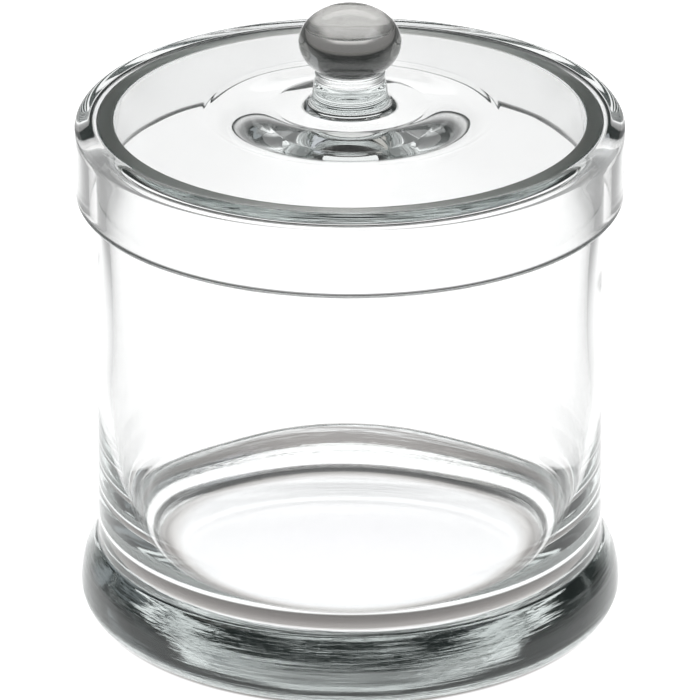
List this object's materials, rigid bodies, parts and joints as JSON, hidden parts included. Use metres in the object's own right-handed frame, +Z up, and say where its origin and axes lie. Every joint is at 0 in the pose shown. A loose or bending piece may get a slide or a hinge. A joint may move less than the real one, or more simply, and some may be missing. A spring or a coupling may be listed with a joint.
{
  "type": "lidded glass canister",
  "caption": "Round clear-glass canister on a heavy flared foot, with a skirted lift-off lid and a ball knob, for keeping dry goods or cotton wool.",
  "frame": {"origin": "centre of the standing ring, on the surface that the foot stands on", "axes": "+Z up along the canister's axis of revolution, +Y away from the viewer and +X to the viewer's right"},
  "size_m": [0.1286, 0.1286, 0.1494],
  "materials": {
    "jar_glass": "clear polished soda-lime glass with a faint green-grey tint",
    "lid_glass": "clear polished soda-lime glass with soft waves",
    "knob_glass": "clear fire-polished solid glass"
  },
  "bodies": {
    "jar": {"jar_body": "jar_glass", "jar_foot": "jar_glass"},
    "lid": {"lid_cap": "lid_glass", "knob_stem": "knob_glass", "knob_ball": "knob_glass"}
  },
  "joints": [
    {"name": "lid_lift", "type": "slide", "parent": "jar", "child": "lid", "axis": [0, 0, 1], "range_m": [0, 0.09]}
  ]
}
